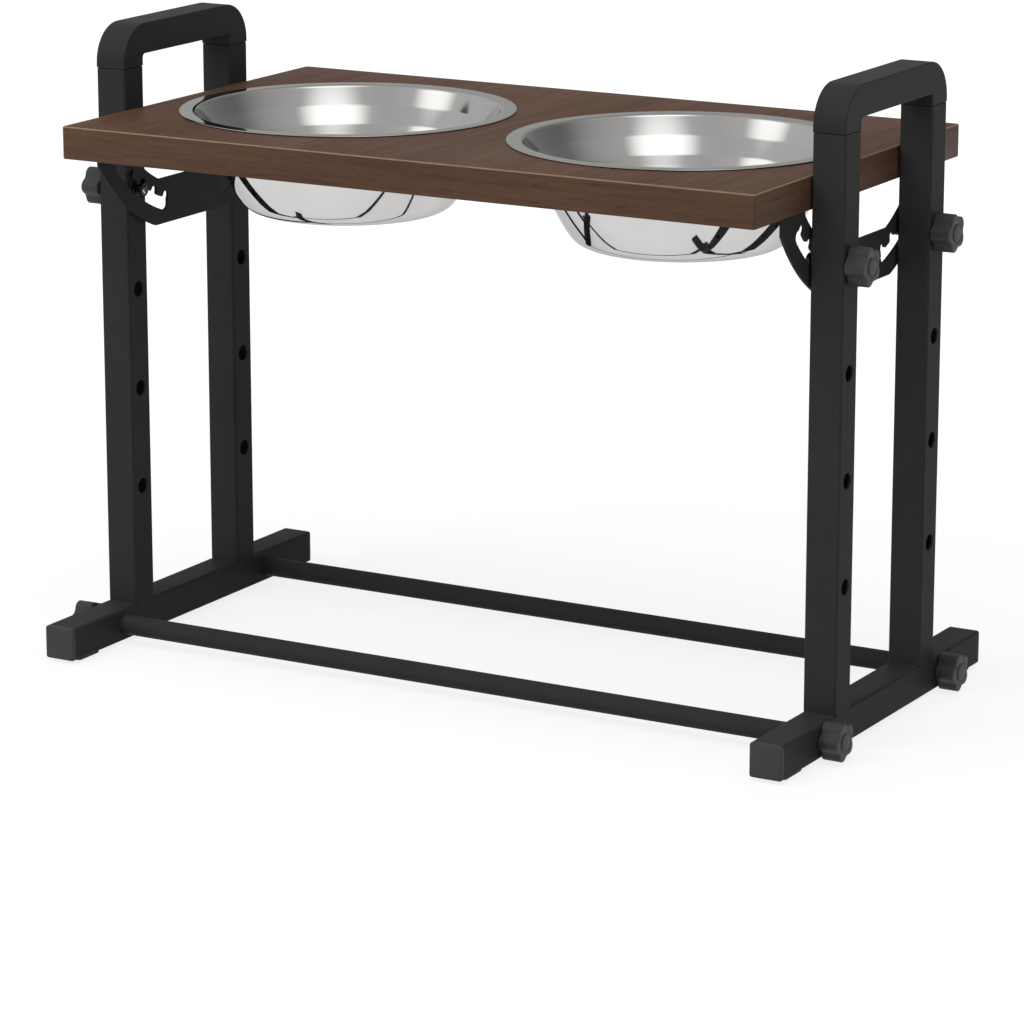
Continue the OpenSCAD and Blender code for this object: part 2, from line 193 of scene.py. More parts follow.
# Injection-moulded polypropylene: charcoal for caps and knobs, black for handles, with a
# spark-eroded grain that dulls it. The real grain is finer than a pixel, so it is drawn at 1.3 mm.
PLASTICS = (("cap", "#363637", "#3d3d3e", 0.2), ("handle", "#2b2b2c", "#303031", 0.05))
moulded = {}
for piece, dark, pale, shine in PLASTICS:
    moulded[piece], tree, shader, where = finish(f"moulded_{piece}_plastic", IOR=1.49,
                                                 Specular_IOR_Level=shine)
    grain = add(tree, "ShaderNodeTexNoise", {"Vector": where, "Scale": every(1.3), "Detail": 2.0})
    flow = add(tree, "ShaderNodeTexNoise", {"Vector": where, "Scale": every(35), "Detail": 2.0})
    tone = add(tree, "ShaderNodeMix",
               {0: flow.outputs["Fac"], 6: linear(dark), 7: linear(pale)}, data_type="RGBA")
    matt = add(tree, "ShaderNodeMapRange",
               {"Value": grain.outputs["Fac"], "To Min": 0.38, "To Max": 0.52})
    bump = add(tree, "ShaderNodeBump",
               {"Height": grain.outputs["Fac"], "Strength": 0.2, "Distance": 0.08 * MM})
    plug(tree, shader, {"Base Color": tone.outputs[2], "Roughness": matt.outputs[0],
                        "Normal": bump.outputs[0]})

# Distance from the tube's end, width and corner radius
cap = [(-PLUG_L, PLUG_W - 2 * PLUG_LEAD, PLUG_CORNER), (PLUG_LEAD - PLUG_L, PLUG_W, PLUG_CORNER)]
cap += [(0, PLUG_W, PLUG_CORNER), (0, TUBE, CAP_CORNER)]
cap += [(CAP_T - CAP_EDGE + rise, TUBE - 2 * inset, CAP_CORNER)
        for inset, rise in rounding(CAP_EDGE)]
for side, sx in SIDES.items():
    bm = bmesh.new()
    for sy in ROWS.values():
        loft(bm, [[(sx * FRAME_X + x, sy * (FOOT_END + out), FOOT_Z + z)
                   for x, z in rounded_outline(w, w, r)] for out, w, r in cap])
    caps = make(f"foot_caps_{side}_moulded", bm, moulded["cap"])
    stand_for(caps, f"foot_caps_{side}", "frame")


# Foot pads: black rubber pads glued under both ends of each foot bar, with a softened lower edge.
# They carry the stand and keep it from sliding.
PAD_W, PAD_L, PAD_H, PAD_Y, PAD_CORNER = 20, 26, 2.5, 141.5, 2
# Height, and how much narrower the pad is there
PAD_NARROWING = ((0, 1.6), (0.25, 0.7), (0.8, 0), (PAD_H, 0))

# Moulded rubber: near black and dull, with a faint bloom in patches some 8 mm across.
rubber, tree, shader, where = finish("moulded_rubber", IOR=1.52)
bloom = add(tree, "ShaderNodeTexNoise", {"Vector": where, "Scale": every(8), "Detail": 4.0})
tone = add(tree, "ShaderNodeMix",
           {0: bloom.outputs["Fac"], 6: linear("#141415"), 7: linear("#222223")}, data_type="RGBA")
dull = add(tree, "ShaderNodeMapRange",
           {"Value": bloom.outputs["Fac"], "To Min": 0.75, "To Max": 0.95})
bump = add(tree, "ShaderNodeBump",
           {"Height": bloom.outputs["Fac"], "Strength": 0.3, "Distance": 0.1 * MM})
plug(tree, shader, {"Base Color": tone.outputs[2], "Roughness": dull.outputs[0],
                    "Normal": bump.outputs[0]})

for side, sx in SIDES.items():
    bm = bmesh.new()
    for sy in ROWS.values():
        loft(bm, [[(sx * FRAME_X + x, sy * PAD_Y + y, z)
                   for x, y in rounded_outline(PAD_W - less, PAD_L - less, PAD_CORNER)]
                  for z, less in PAD_NARROWING])
    pads = make(f"foot_pads_{side}_rubber", bm, rubber)
    stand_for(pads, f"foot_pads_{side}", "frame")


# Posts: two square steel tubes on each foot bar, drilled right through in four rows for the clamp
# studs, welded on and powder-coated with the foot bar.
POST_Y, FOOT_TOP = 70.5, 27.5
WELD_L, WELD_R, WELD_FACE, WELD_LIP, WELD_SINK = 21, 2.2, TUBE / 2 + 0.03, 0.4, 0.3

# The welds fill the hollow over the foot bar's round edges and are ground flush
weld_outline = [(WELD_FACE, FOOT_TOP - WELD_R), (WELD_FACE, FOOT_TOP + WELD_LIP),
                (WELD_FACE - WELD_LIP, FOOT_TOP + WELD_LIP),
                (WELD_FACE - WELD_R, FOOT_TOP - WELD_SINK)]
for row, side in CORNERS:
    dress(f"post_{row}_{side}", powder_coat)
    bm = bmesh.new()
    for face in (-1, 1):
        loft(bm, [[(SIDES[side] * FRAME_X + face * x, ROWS[row] * POST_Y + y, z)
                   for x, z in weld_outline] for y in (-WELD_L / 2, WELD_L / 2)])
    weld = make(f"weld_{row}_{side}", bm, powder_coat)
    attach(weld, "frame")


# Handles: a moulded plastic U on each side frame, with wide outer corners and rounded edges. Its
# two spigots press into the tops of the posts, where a narrow shadow line is left.
POST_TOP = 436
HANDLE_H, HAND_BAR, OUTER_R, INNER_R, HANDLE_EDGE, SEAM = 32, 23, 28, 3, 0.8, 0.6
SPIGOT_W, SPIGOT_L, SPIGOT_CORNER, NECK_W, NECK_H = 21.9, 30, 1, 23, 4
SPIGOT_LEAD, SPIGOT_TAPER = 1, 1.5


def arc(cy, cz, r, start, end, steps):
    """Points along an arc about (cy, cz), with its angles in degrees."""
    angles = [math.radians(start + (end - start) * i / steps) for i in range(steps + 1)]
    return [(cy + r * math.cos(a), cz + r * math.sin(a)) for a in angles]


outer, inner, under = POST_Y + TUBE / 2, POST_Y - TUBE / 2, HANDLE_H - HAND_BAR
u_outline = [(outer, SEAM)] + arc(outer - OUTER_R, HANDLE_H - OUTER_R, OUTER_R, 0, 90, 14)
u_outline += arc(OUTER_R - outer, HANDLE_H - OUTER_R, OUTER_R, 90, 180, 14)
u_outline += [(-outer, SEAM), (-inner, SEAM)]
u_outline += arc(INNER_R - inner, under - INNER_R, INNER_R, 180, 90, 4)
u_outline += arc(inner - INNER_R, under - INNER_R, INNER_R, 90, 0, 4) + [(inner, SEAM)]
spigot = ((NECK_H, NECK_W), (0, NECK_W), (0, SPIGOT_W), (SPIGOT_LEAD - SPIGOT_L, SPIGOT_W),
          (-SPIGOT_L, SPIGOT_W - SPIGOT_TAPER))
for side, sx in SIDES.items():
    bm = bmesh.new()
    loft(bm, [[(sx * FRAME_X + x, y, POST_TOP + z) for y, z in u_outline]
              for x in (-TUBE / 2, TUBE / 2)])
    bmesh.ops.recalc_face_normals(bm, faces=bm.faces)
    # The edges round the seam stay sharp
    sharp = [e for e in bm.edges if e.calc_face_angle(0) > math.radians(40)
             and max(v.co.z for v in e.verts) > (POST_TOP + SEAM + 0.1) * MM]
    bmesh.ops.bevel(bm, geom=sharp, offset=HANDLE_EDGE * MM, segments=3, profile=0.5,
                    affect="EDGES")
    for sy in ROWS.values():
        loft(bm, [[(sx * FRAME_X + x, sy * POST_Y + y, POST_TOP + z)
                   for x, y in rounded_outline(w, w, SPIGOT_CORNER)] for z, w in spigot])
    handle = make(f"handle_{side}_moulded", bm, moulded["handle"])
    handle.modifiers.new("flat faces", "WEIGHTED_NORMAL").keep_sharp = True
    stand_for(handle, f"handle_{side}", "frame")


# Cross rods: two round steel tubes between the foot bars, powder-coated, with a turned and tapped
# steel plug pressed into each end for the base studs.

# Zinc plate on turned steel: blue-grey metal with soft blotches about 6 mm across.
zinc, tree, shader, where = finish("zinc_plated_steel", Metallic=1.0)
blotch = add(tree, "ShaderNodeTexNoise", {"Vector": where, "Scale": every(6), "Detail": 4.0})
tone = add(tree, "ShaderNodeMix",
           {0: blotch.outputs["Fac"], 6: linear("#9a9da1"), 7: linear("#c3c6c9")}, data_type="RGBA")
sheen = add(tree, "ShaderNodeMapRange",
            {"Value": blotch.outputs["Fac"], "To Min": 0.18, "To Max": 0.32})
plug(tree, shader, {"Base Color": tone.outputs[2], "Roughness": sheen.outputs[0]})

for row in ROWS:
    dress(f"cross_rod_{row}", powder_coat)
    dress(f"rod_plugs_{row}", zinc)


# Studs: turned zinc-plated steel. The base studs screw into the rods' plugs. The clamp studs have a
# shoulder as thick as a post's hole, and a thread that passes through a bracket to a nut.
CLAMP_Z = 345.5
STUD_TIP, SHOULDER, POST_FACE, STUD_END = 273, 279.8, 306.5, 316.8
TIP_R, TIP_L, THREAD_R, ROOT_R, PITCH, THREADS = 2.2, 0.7, 3, 2.5, 1, 6
SHOULDER_R, SHOULDER_EDGE, STUD_STEPS = 5.95, 0.4, 48


def turns(steps):
    """Angles of so many equal steps round a full turn."""
    return [2 * math.pi * i / steps for i in range(steps)]


def turned(y, z, out, profile):
    """Loops round an axis along x, from pairs of a distance and the radii there."""
    return [[(out * x, y + r * math.sin(a), z + r * math.cos(a))
             for r, a in zip(radii, turns(len(radii)))] for x, radii in profile]


# Zinc plate with a black passivate: dark, smooth metal. The tips' chamfers take bright zinc as a
# painted highlight.
black_zinc, tree, shader, where = finish("zinc_plated_black_passivated", Metallic=1.0)
blotch = add(tree, "ShaderNodeTexNoise", {"Vector": where, "Scale": every(4), "Detail": 4.0})
tone = add(tree, "ShaderNodeMix",
           {0: blotch.outputs["Fac"], 6: linear("#2b2b2d"), 7: linear("#414144")}, data_type="RGBA")
sheen = add(tree, "ShaderNodeMapRange",
            {"Value": blotch.outputs["Fac"], "To Min": 0.3, "To Max": 0.45})
plug(tree, shader, {"Base Color": tone.outputs[2], "Roughness": sheen.outputs[0]})

thread_start = STUD_TIP + TIP_L
stud = [(STUD_TIP, TIP_R), (thread_start, THREAD_R)]
for k in range(THREADS):
    stud += [(thread_start + (k + 0.5) * PITCH, ROOT_R), (thread_start + (k + 1) * PITCH, THREAD_R)]
stud += [(SHOULDER, THREAD_R), (SHOULDER, SHOULDER_R - SHOULDER_EDGE)]
stud += [(SHOULDER + SHOULDER_EDGE, SHOULDER_R), (POST_FACE - SHOULDER_EDGE, SHOULDER_R)]
stud += [(POST_FACE, SHOULDER_R - SHOULDER_EDGE), (POST_FACE, THREAD_R), (STUD_END, THREAD_R)]
stud = [(x, [r] * STUD_STEPS) for x, r in stud]
for row, side in CORNERS:
    dress(f"base_stud_{row}_{side}", zinc)
    bm = bmesh.new()
    loft(bm, turned(ROWS[row] * POST_Y, CLAMP_Z, SIDES[side], stud))
    # The first row of faces, the tip's chamfer, takes bright zinc: a painted highlight
    bm.faces.ensure_lookup_table()
    for face in bm.faces[:STUD_STEPS]:
        face.material_index = 1
    name = f"clamp_stud_{row}_{side}"
    stand_for(make(f"{name}_turned", bm, black_zinc, zinc), name, name)


# Star knobs: moulded plastic heads with five soft lobes, a collar at the back and a raised disc on
# the face, pressed onto their studs. Four hold the rods and four clamp the board.
ROD_Y, KNOB_BACK, KNOB_STEPS = 98, 306.8, 100
LOBES, LOBE_R, HOLLOW, HOLLOW_SHAPE, KNOB_EDGE = 5, 14.25, 2.8, 1.35, 0.7
COLLAR_R, COLLAR_L, KNOB_FACE, DISC_R, DISC_H = 8.5, 0.6, 15.25, 6.25, 0.55
DISC_TOP = KNOB_FACE + DISC_H


def lobed(inset):
    """Radii round a knob's outline, or so far inside it. The first lobe points to the front."""
    waves = [0.5 - 0.5 * math.cos(LOBES * (a + math.pi / 2)) for a in turns(KNOB_STEPS)]
    return [LOBE_R - HOLLOW * wave ** HOLLOW_SHAPE - inset for wave in waves]


# Distance from the back, with a radius for collar and disc or an inset from the lobed outline
collar = [(0, COLLAR_R - 0.3), (0.2, COLLAR_R), (COLLAR_L, COLLAR_R)]
head = [(COLLAR_L, 0.7), (COLLAR_L + 0.2, 0.2), (COLLAR_L + 0.7, 0)]
head += [(KNOB_FACE - 0.2 - KNOB_EDGE + rise, inset) for inset, rise in rounding(KNOB_EDGE)]
head += [(KNOB_FACE - 0.05, 2.4)]
disc = [(KNOB_FACE, DISC_R + 0.5), (KNOB_FACE - 0.15, DISC_R + 0.25), (KNOB_FACE - 0.15, DISC_R)]
disc += [(DISC_TOP - 0.5, DISC_R), (DISC_TOP - 0.25, DISC_R - 0.07)]
disc += [(DISC_TOP - 0.07, DISC_R - 0.25), (DISC_TOP, DISC_R - 0.5), (DISC_TOP, 2)]
knob = [(t, [r] * KNOB_STEPS) for t, r in collar] + [(t, lobed(inset)) for t, inset in head]
knob += [(t, [r] * KNOB_STEPS) for t, r in disc]
knob = [(KNOB_BACK + t, radii) for t, radii in knob]
for kind, y, z in (("base", ROD_Y, FOOT_Z), ("clamp", POST_Y, CLAMP_Z)):
    for row, side in CORNERS:
        bm = bmesh.new()
        loft(bm, turned(ROWS[row] * y, z, SIDES[side], knob))
        name = f"{kind}_knob_{row}_{side}"
        stand_for(make(f"{name}_moulded", bm, moulded["cap"]), name, name)


# Nuts: pressed hexagon nuts with a black oxide finish, on the threads of the clamp studs behind the
# brackets' slots, so that the knobs can draw the brackets against the posts.
NUT_AF, NUT_T, NUT_FACE, NUT_BORE, NUT_STEPS = 10, 3.2, 277.2, 6.1, 72
NUT_CORNER_R, NUT_FACE_R, NUT_CHAMFER, BORE_CHAMFER = 5.9, 4.9, 0.5, 0.4

# Black oxide on steel: a thin dark conversion layer that keeps the metal's satin shine.
oxide, tree, shader, where = finish("black_oxide_steel", Metallic=1.0)
layer = add(tree, "ShaderNodeTexNoise", {"Vector": where, "Scale": every(3), "Detail": 3.0})
tone = add(tree, "ShaderNodeMix",
           {0: layer.outputs["Fac"], 6: linear("#232324"), 7: linear("#3a3a3c")}, data_type="RGBA")
satin = add(tree, "ShaderNodeMapRange",
            {"Value": layer.outputs["Fac"], "To Min": 0.35, "To Max": 0.55})
plug(tree, shader, {"Base Color": tone.outputs[2], "Roughness": satin.outputs[0]})


def hexagon(limit):
    """Radii round a nut, cut by a chamfer cone of that radius."""
    spans = [a % (math.pi / 3) - math.pi / 6 for a in turns(NUT_STEPS)]
    return [min(NUT_AF / 2 / math.cos(a), limit) for a in spans]


bore, mouth = [NUT_BORE / 2] * NUT_STEPS, [NUT_BORE / 2 + BORE_CHAMFER] * NUT_STEPS
nut = [(0, mouth), (0, hexagon(NUT_FACE_R)), (NUT_CHAMFER, hexagon(NUT_CORNER_R))]
nut += [(NUT_T - NUT_CHAMFER, hexagon(NUT_CORNER_R)), (NUT_T, hexagon(NUT_FACE_R)), (NUT_T, mouth)]
nut += [(NUT_T - BORE_CHAMFER, bore), (BORE_CHAMFER, bore), (0, mouth)]
nut = [(NUT_FACE - t, radii) for t, radii in nut]
for row, side in CORNERS:
    bm = bmesh.new()
    loft(bm, turned(ROWS[row] * POST_Y, CLAMP_Z, SIDES[side], nut), closed=False)
    bmesh.ops.remove_doubles(bm, verts=bm.verts, dist=1e-6)
    name = f"clamp_nut_{row}_{side}"
    stand_for(make(f"{name}_chamfered", bm, oxide), name, "frame")


# Board: a walnut-veneered board with two round holes for the bowls. The veneer's grain runs front
# to back, and strips of the same wood, with their grain lengthwise, edge it all round.
BOARD_L, BOARD_D, BOARD_T, BOARD_TOP = 560, 332, 24, 406.5
BOARD_EDGE, BOARD_CORNER, HOLE_EDGE = 0.9, 2, 0.9
BOWL_X, BOWL_HOLE_R, HOLE_STEPS = 139, 115.5, 144

# Walnut veneer under satin lacquer: brown with long darker streaks, broad figure and fine pores, a
# little darker than its edging. The pores are really 0.3 mm wide, and are drawn 0.9 mm wide to show.
walnut, tree, shader, where = finish("walnut_veneer_satin", IOR=1.5, Specular_IOR_Level=0.16)
facing = add(tree, "ShaderNodeSeparateXYZ",
             {0: add(tree, "ShaderNodeTexCoord").outputs["Normal"]})
spot = add(tree, "ShaderNodeSeparateXYZ", {0: where})
level = add(tree, "ShaderNodeMath", {0: facing.outputs["Z"]}, operation="ABSOLUTE")
level = add(tree, "ShaderNodeMath", {0: level.outputs[0], 1: 0.7}, operation="GREATER_THAN")
endwise = add(tree, "ShaderNodeMath", {0: facing.outputs["X"]}, operation="ABSOLUTE")
endwise = add(tree, "ShaderNodeMath", {0: endwise.outputs[0], 1: 0.7}, operation="GREATER_THAN")
flat = add(tree, "ShaderNodeCombineXYZ",
           {"X": spot.outputs["X"], "Y": spot.outputs["Y"], "Z": 0.2})
front = add(tree, "ShaderNodeCombineXYZ",
            {"X": spot.outputs["Z"], "Y": spot.outputs["X"], "Z": 0.5})
ends = add(tree, "ShaderNodeCombineXYZ",
           {"X": spot.outputs["Z"], "Y": spot.outputs["Y"], "Z": 0.8})
strips = add(tree, "ShaderNodeMix",
             {0: endwise.outputs[0], 4: front.outputs[0], 5: ends.outputs[0]}, data_type="VECTOR")
along = add(tree, "ShaderNodeMix",
            {0: level.outputs[0], 4: strips.outputs[1], 5: flat.outputs[0]}, data_type="VECTOR")
figure = add(tree, "ShaderNodeMapping",
             {0: along.outputs[1], "Scale": (every(38), every(420), 1)})
figure = add(tree, "ShaderNodeTexNoise",
             {"Vector": figure.outputs[0], "Scale": 1.0, "Detail": 2.0, "Distortion": 0.6})
streak = add(tree, "ShaderNodeMapping",
             {0: along.outputs[1], "Scale": (every(3.2), every(90), 1)})
streak = add(tree, "ShaderNodeTexNoise",
             {"Vector": streak.outputs[0], "Scale": 1.0, "Detail": 4.0, "Roughness": 0.6})
pore = add(tree, "ShaderNodeMapping",
           {0: along.outputs[1], "Scale": (every(0.9), every(13), 1)})
pore = add(tree, "ShaderNodeTexNoise", {"Vector": pore.outputs[0], "Scale": 1.0, "Detail": 1.0})
veneer = add(tree, "ShaderNodeMath", {0: level.outputs[0], 1: -0.3, 2: figure.outputs["Fac"]},
             operation="MULTIPLY_ADD")
broad = add(tree, "ShaderNodeMix",
            {0: veneer.outputs[0], 6: linear("#493325"), 7: linear("#604737")}, data_type="RGBA")
dark = add(tree, "ShaderNodeMapRange",
           {"Value": streak.outputs["Fac"], "From Min": 0.45, "From Max": 0.75, "To Max": 0.55})
lined = add(tree, "ShaderNodeMix",
            {0: dark.outputs[0], 6: broad.outputs[2], 7: linear("#38241a")}, data_type="RGBA")
open_pore = add(tree, "ShaderNodeMapRange",
                {"Value": pore.outputs["Fac"], "From Min": 0.62, "From Max": 0.74, "To Max": 0.5})
wood = add(tree, "ShaderNodeMix",
           {0: open_pore.outputs[0], 6: lined.outputs[2], 7: linear("#2c1c16")}, data_type="RGBA")
satin = add(tree, "ShaderNodeMapRange",
            {"Value": streak.outputs["Fac"], "To Min": 0.42, "To Max": 0.62})
dip = add(tree, "ShaderNodeMath", {0: streak.outputs["Fac"], 1: open_pore.outputs[0]},
          operation="SUBTRACT")
bump = add(tree, "ShaderNodeBump",
           {"Height": dip.outputs[0], "Strength": 0.25, "Distance": 0.15 * MM})
plug(tree, shader, {"Base Color": wood.outputs[2], "Roughness": satin.outputs[0],
                    "Normal": bump.outputs[0]})

# The upper eased edges are painted paler than the veneer under the same lacquer: a painted highlight
# along their rounding.
walnut_painted_highlight, tree, shader, where = finish("walnut_edge_painted_highlight", IOR=1.5, Specular_IOR_Level=0.3)
along = add(tree, "ShaderNodeTexNoise", {"Vector": where, "Scale": every(7), "Detail": 4.0})
tone = add(tree, "ShaderNodeMix",
           {0: along.outputs["Fac"], 6: linear("#6c5343"), 7: linear("#8c715f")}, data_type="RGBA")
satin = add(tree, "ShaderNodeMapRange",
            {"Value": along.outputs["Fac"], "To Min": 0.35, "To Max": 0.5})
plug(tree, shader, {"Base Color": tone.outputs[2], "Roughness": satin.outputs[0]})


def eased(edge):
    """(inset, drop) pairs from the board's upper face round both edges to its lower face."""
    upper = [(inset, edge - rise) for inset, rise in reversed(rounding(edge, 4))]
    return upper + [(inset, BOARD_T - drop) for inset, drop in reversed(upper)]


def upright(x, y, profile):
    """Loops round an axis along z, from pairs of a height and the radii there."""
    return [[(x + r * math.cos(a), y + r * math.sin(a), z)
             for r, a in zip(radii, turns(len(radii)))] for z, radii in profile]


bm = bmesh.new()
rim = loft(bm, [[(x, y, BOARD_TOP - drop) for x, y in
                 rounded_outline(BOARD_L - 2 * inset, BOARD_D - 2 * inset, BOARD_CORNER)]
                for inset, drop in eased(BOARD_EDGE)], closed=False)
# The faces round the upper eased edges take the pale edge finish, a painted highlight
for face in bm.faces:
    face.material_index = int(face.calc_center_median().z > (BOARD_TOP - BOARD_EDGE) * MM)
faces = {"top": [rim[0]], "bottom": [rim[-1]]}
hole_profile = [(BOARD_TOP - drop, [BOWL_HOLE_R + inset] * HOLE_STEPS)
                for inset, drop in eased(HOLE_EDGE)]
for sx in SIDES.values():
    hole = loft(bm, upright(sx * BOWL_X, 0, hole_profile), closed=False)
    faces["top"].append(hole[0])
    faces["bottom"].append(hole[-1])
for rings in faces.values():
    edges = [bm.edges.get((ring[i - 1], ring[i])) for ring in rings for i in range(len(ring))]
    bmesh.ops.triangle_fill(bm, edges=edges, use_beauty=True)
stand_for(make("board_veneered", bm, walnut, walnut_painted_highlight), "board", "tray")


# Tilt brackets: one piece of sheet steel under each end of the board, cut with two notched arc
# slots, with two tabs folded inward under the board, powder-coated black.
for side in SIDES:
    dress(f"bracket_{side}", powder_coat)


# Bracket screws: zinc-plated pan-head wood screws with a cross recess, two through each folded
# tab into the underside of the board.
SCREW_X, SCREW_PITCH, SCREW_Y, TAB_UNDER, SCREW_STEPS = 264.5, 11, 105.75, 380.5, 64
HEAD_R, HEAD_H, SHANK_R, SHANK_L, POINT_R, POINT_L = 4, 2.4, 2, 17, 0.3, 3
CROSS_L, CROSS_W, CROSS_FLOOR, CROSS_TAPER = 1.9, 0.42, -1.3, 0.7


def cross(share):
    """Radii round the cross recess, as a share of its full size."""
    radii = []
    for a in turns(SCREW_STEPS):
        c, s = max(abs(math.cos(a)), 1e-6), max(abs(math.sin(a)), 1e-6)
        radii.append(share * max(min(CROSS_L / c, CROSS_W / s), min(CROSS_W / c, CROSS_L / s)))
    return radii


# Height over the tab's underside and radius, from the point down over the head to its recess
screw = [(SHANK_L, POINT_R), (SHANK_L - POINT_L, SHANK_R), (0, SHANK_R), (0, HEAD_R - 0.1)]
screw += [(-0.2, HEAD_R), (-1.1, HEAD_R), (-1.7, HEAD_R - 0.3), (-2.15, HEAD_R - 0.9)]
screw += [(-HEAD_H, 2.3)]
screw = [(h, [r] * SCREW_STEPS) for h, r in screw]
screw += [(-HEAD_H, cross(1)), (CROSS_FLOOR, cross(CROSS_TAPER))]
screw = [(TAB_UNDER + h, radii) for h, radii in screw]
for side, sx in SIDES.items():
    bm = bmesh.new()
    for sy in ROWS.values():
        for k in (-0.5, 0.5):
            loft(bm, upright(sx * SCREW_X + k * SCREW_PITCH, sy * SCREW_Y, screw))
    screws = make(f"bracket_screws_{side}_turned", bm, zinc)
    stand_for(screws, f"bracket_screws_{side}", "tray")


# Bowls: deep-drawn stainless steel bowls that hang by their flat rims in the holes of the board. The
# inside and the rim are satin, with two soft creases in the wall, and the outside is polished.
BOWL_TOP, RIM_R, RIM_T, BOWL_STEPS = 407.5, 125, 1, 192
UPPER_CREASE, LOWER_CREASE, CREASE = 15, 28, 0.8
BASE_MID_R, CORNER_DROP, INNER_CORNER_R, OUTER_CORNER_R, WALL_END = 63.94, 56, 19, 20, 33
BASE_INSIDE, BASE_OUTSIDE = CORNER_DROP + INNER_CORNER_R, CORNER_DROP + OUTER_CORNER_R
BASE_RINGS = (50, 25, 4)

# Deep-drawn stainless, satin inside: smooth enough to mirror shapes softly. Faint drawing rings,
# really a tenth of a millimetre apart and drawn 1.4 mm apart, and wiping marks vary the shine.
satin_steel, tree, shader, where = finish("stainless_drawn_satin", Metallic=1.0, Anisotropic=0.35,
                                          Anisotropic_Rotation=0.25)
round_way = add(tree, "ShaderNodeTangent", direction_type="RADIAL", axis="Z")
height = add(tree, "ShaderNodeSeparateXYZ", {0: where})
ring = add(tree, "ShaderNodeCombineXYZ", {"Z": height.outputs["Z"]})
ring = add(tree, "ShaderNodeTexNoise",
           {"Vector": ring.outputs[0], "Scale": every(1.4), "Detail": 3.0, "Roughness": 0.7})
smear = add(tree, "ShaderNodeTexNoise", {"Vector": where, "Scale": every(45), "Detail": 3.0})
shine = add(tree, "ShaderNodeMath", {0: ring.outputs["Fac"], 1: 0.35}, operation="MULTIPLY")
shine = add(tree, "ShaderNodeMath", {0: smear.outputs["Fac"], 1: 0.65, 2: shine.outputs[0]},
            operation="MULTIPLY_ADD")
shine = add(tree, "ShaderNodeMapRange", {"Value": shine.outputs[0], "From Min": 0.3,
                                         "From Max": 0.7, "To Min": 0.07, "To Max": 0.11})
tone = add(tree, "ShaderNodeMix",
           {0: ring.outputs["Fac"], 6: linear("#c9c8c6"), 7: linear("#d3d2d0")}, data_type="RGBA")
plug(tree, shader, {"Tangent": round_way.outputs[0], "Base Color": tone.outputs[2],
                    "Roughness": shine.outputs[0]})

# Polished stainless: nearly a mirror, with a faint haze that varies over 30 mm.
mirror, tree, shader, where = finish("stainless_polished", Metallic=1.0,
                                     Specular_Tint=linear("#d0d0d0"))
haze = add(tree, "ShaderNodeTexNoise", {"Vector": where, "Scale": every(30), "Detail": 4.0})
shine = add(tree, "ShaderNodeMapRange",
            {"Value": haze.outputs["Fac"], "To Min": 0.02, "To Max": 0.05})
tone = add(tree, "ShaderNodeMix",
           {0: haze.outputs["Fac"], 6: linear("#cbcac9"), 7: linear("#d4d3d2")}, data_type="RGBA")
plug(tree, shader, {"Base Color": tone.outputs[2], "Roughness": shine.outputs[0]})


def bowed(start, end, bow, steps=8):
    """Points from start to end along a wall that bows outward by so much in its middle."""
    dr, dd = end[0] - start[0], end[1] - start[1]
    far = math.hypot(dr, dd)
    points = []
    for k in range(steps + 1):
        t = k / steps
        out = bow * 4 * t * (1 - t)
        points.append((start[0] + dr * t + out * dd / far, start[1] + dd * t - out * dr / far))
    return points


# Radius and drop below the rim's top, from the outer edge of the rim inward to the base and back
inside = [(RIM_R - 0.4, 0), (RIM_R - 2, 0), (119, 0), (115.6, 0), (114.6, 0.15), (113.7, 0.6)]
inside += [(113.1, 1.3), (112.8, 2), (107.75, UPPER_CREASE - CREASE), (107.35, UPPER_CREASE)]
inside += [(106.9, UPPER_CREASE + CREASE), (99.8, LOWER_CREASE - CREASE), (99.3, LOWER_CREASE)]
bend = arc(BASE_MID_R, CORNER_DROP, INNER_CORNER_R, WALL_END, 90, 9)
inside += bowed((98.95, LOWER_CREASE + CREASE), bend[0], 1.1) + bend[1:]
inside += [(r, BASE_INSIDE) for r in BASE_RINGS]
outside = [(r, BASE_OUTSIDE) for r in reversed(BASE_RINGS)]
bend = arc(BASE_MID_R, CORNER_DROP, OUTER_CORNER_R, 90, WALL_END, 9)
outside += bend[:-1] + bowed((101.3, 25), bend[-1], 1.5)[::-1]
outside += [(108.1, UPPER_CREASE + CREASE), (108.5, UPPER_CREASE), (108.9, UPPER_CREASE - CREASE)]
outside += [(113.6, 3.2), (114.2, 1.9), (115, 1.25), (116, RIM_T), (120, RIM_T), (122, 0.85)]
outside += [(RIM_R - 0.4, 0.6), (RIM_R - 0.1, 0.5), (RIM_R, 0.3), (RIM_R - 0.1, 0.1)]
outside += [(RIM_R - 0.4, 0)]
for side, sx in SIDES.items():
    bm = bmesh.new()
    for polished, profile in enumerate((inside, outside[::-1])):
        wall = [(BOWL_TOP - drop, [r] * BOWL_STEPS) for r, drop in profile]
        rings = loft(bm, upright(sx * BOWL_X, 0, wall), closed=False)
        bm.faces.new(rings[-1])
        bm.faces.ensure_lookup_table()
        for face in bm.faces[-(len(profile) - 1) * BOWL_STEPS - 1:]:
            face.material_index = polished
    bmesh.ops.remove_doubles(bm, verts=bm.verts, dist=1e-6)
    bowl = make(f"bowl_{side}_drawn", bm, satin_steel, mirror, crisp=50)
    stand_for(bowl, f"bowl_{side}", f"bowl_{side}")


# Studio: a pale floor, a soft room, softboxes at the front left, overhead and behind, and the
# camera at the photograph's angle.
FLOOR_SIZE, FLOOR_DROP = 40, 0.0002

